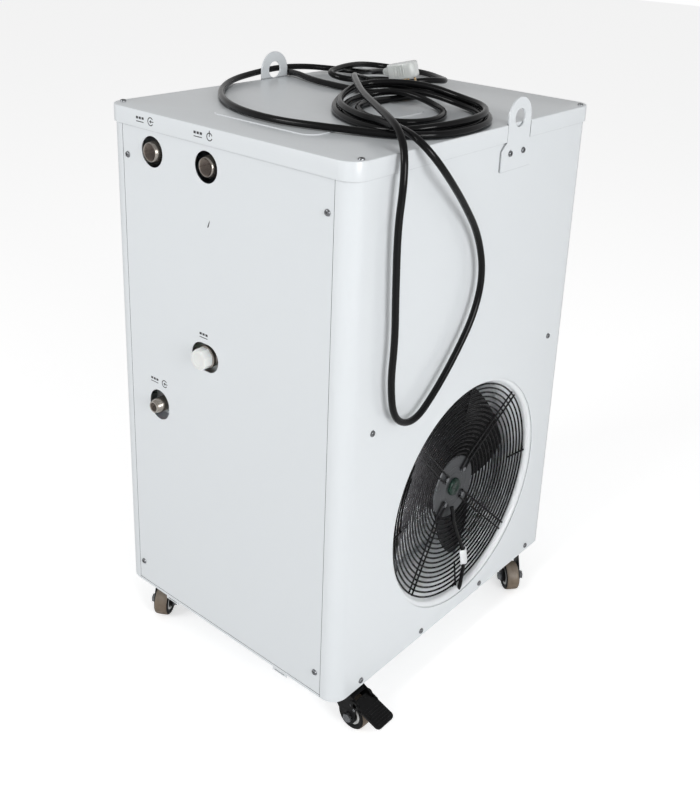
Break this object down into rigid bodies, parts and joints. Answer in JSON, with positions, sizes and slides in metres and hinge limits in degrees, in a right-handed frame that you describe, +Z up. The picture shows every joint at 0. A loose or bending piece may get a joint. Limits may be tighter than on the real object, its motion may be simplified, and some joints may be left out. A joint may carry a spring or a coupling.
{
  "type": "laser chiller",
  "caption": "Wheeled water chiller cabinet with a round fan guard, lifting eyes, water ports, casters and a coiled mains lead.",
  "frame": {"origin": "middle of the cabinet's outline at floor level, without the lead", "axes": "+Z up, +X out of the fan side, -Y out of the side with the water ports"},
  "size_m": [0.6072, 0.5954, 0.9394],
  "materials": {
    "powder_coat": "gloss",
    "black_wire": "semi-gloss",
    "grey_plate": "satin",
    "zinc": "satin",
    "nickel": "polished",
    "white_plastic": "gloss",
    "black_plastic": "matte",
    "tread": "satin",
    "black_pvc": "satin",
    "clear_plastic": "gloss",
    "brass": "satin",
    "fins": "satin",
    "tank_plastic": "matte",
    "display_window": "gloss"
  },
  "bodies": {
    "cabinet": {"base_pan": "powder_coat", "caster_plates": "black_wire", "compressor": "black_wire", "condenser": "fins", "cord_coil": "black_pvc", "cord_feed": "black_pvc", "cord_gland": "black_plastic", "cord_hang": "black_pvc", "cord_lead": "black_pvc", "display": "display_window", "drain_pipe": "nickel", "electric_box": "powder_coat", "eye_screws": "zinc", "fan_cable": "black_pvc", "fan_duct": "powder_coat", "fan_guard": "black_wire", "fan_stator": "grey_plate", "frame": "powder_coat", "guard_bolts": "zinc", "hub_cap": "black_plastic", "inlet_pipe": "nickel", "lid": "powder_coat", "lid_screws": "zinc", "lifting_eye_fan": "powder_coat", "lifting_eye_intake": "powder_coat", "outlet_pipe": "nickel", "panel_control": "powder_coat", "panel_fan": "powder_coat", "panel_intake": "powder_coat", "panel_ports": "powder_coat", "panel_screws": "zinc", "plate_exchanger": "zinc", "plug_blades": "brass", "plug_body": "clear_plastic", "refill_neck": "nickel", "switch_frame": "black_plastic", "water_pump": "black_plastic", "water_tank": "tank_plastic"},
    "rotor": {"fan_rotor": "black_wire"},
    "cap": {"refill_cap": "white_plastic"},
    "button_down": {"key_down": "black_plastic"},
    "button_up": {"key_up": "black_plastic"},
    "button_set": {"key_set": "black_plastic"},
    "rocker": {"switch_rocker": "black_plastic"},
    "caster_near": {"fork_near": "black_wire", "axle_near": "zinc"},
    "roller_near": {"wheel_near": "tread"},
    "caster_left": {"fork_left": "black_wire", "axle_left": "zinc"},
    "roller_left": {"wheel_left": "tread"},
    "caster_right": {"fork_right": "black_wire", "axle_right": "zinc"},
    "roller_right": {"wheel_right": "tread"},
    "caster_far": {"fork_far": "black_wire", "axle_far": "zinc"},
    "roller_far": {"wheel_far": "tread"},
    "brake_near": {"pedal_near": "black_plastic"},
    "brake_far": {"pedal_far": "black_plastic"}
  },
  "joints": [
    {"name": "fan_spin", "type": "hinge", "parent": "cabinet", "child": "rotor", "pos_m": [0.235, 0.02635, 0.292], "axis": [1, 0, 0], "continuous": true},
    {"name": "cap_pull", "type": "slide", "parent": "cabinet", "child": "cap", "axis": [0, -1, 0], "range_m": [0, 0.03]},
    {"name": "press_down", "type": "slide", "parent": "cabinet", "child": "button_down", "axis": [0, -1, 0], "range_m": [0, 0.0008], "stiffness_N_per_m": 1500},
    {"name": "press_up", "type": "slide", "parent": "cabinet", "child": "button_up", "axis": [0, -1, 0], "range_m": [0, 0.0008], "stiffness_N_per_m": 1500},
    {"name": "press_set", "type": "slide", "parent": "cabinet", "child": "button_set", "axis": [0, -1, 0], "range_m": [0, 0.0008], "stiffness_N_per_m": 1500},
    {"name": "switch_rock", "type": "hinge", "parent": "cabinet", "child": "rocker", "pos_m": [0.095, 0.28835, 0.765], "axis": [1, 0, 0], "range_deg": [0, 16]},
    {"name": "swivel_near", "type": "hinge", "parent": "cabinet", "child": "caster_near", "pos_m": [0.198, -0.22565, 0.07], "axis": [0, 0, 1], "continuous": true},
    {"name": "roll_near", "type": "hinge", "parent": "caster_near", "child": "roller_near", "pos_m": [0.228, -0.22565, 0.025], "axis": [0, 1, 0], "continuous": true},
    {"name": "brake_press_near", "type": "hinge", "parent": "caster_near", "child": "brake_near", "pos_m": [0.238, -0.22565, 0.054], "axis": [0, 1, 0], "range_deg": [0, 12]},
    {"name": "swivel_left", "type": "hinge", "parent": "cabinet", "child": "caster_left", "pos_m": [-0.198, -0.22565, 0.07], "axis": [0, 0, 1], "continuous": true},
    {"name": "roll_left", "type": "hinge", "parent": "caster_left", "child": "roller_left", "pos_m": [-0.183, -0.25163, 0.025], "axis": [0.866, 0.5, 0], "continuous": true},
    {"name": "swivel_right", "type": "hinge", "parent": "cabinet", "child": "caster_right", "pos_m": [0.198, 0.23435, 0.07], "axis": [0, 0, 1], "continuous": true},
    {"name": "roll_right", "type": "hinge", "parent": "caster_right", "child": "roller_right", "pos_m": [0.22098, 0.21506, 0.025], "axis": [0.6428, 0.766, 0], "continuous": true},
    {"name": "swivel_far", "type": "hinge", "parent": "cabinet", "child": "caster_far", "pos_m": [-0.198, 0.23435, 0.07], "axis": [0, 0, 1], "continuous": true},
    {"name": "roll_far", "type": "hinge", "parent": "caster_far", "child": "roller_far", "pos_m": [-0.228, 0.23435, 0.025], "axis": [0, -1, 0], "continuous": true},
    {"name": "brake_press_far", "type": "hinge", "parent": "caster_far", "child": "brake_far", "pos_m": [-0.238, 0.23435, 0.054], "axis": [0, -1, 0], "range_deg": [0, 12]}
  ]
}
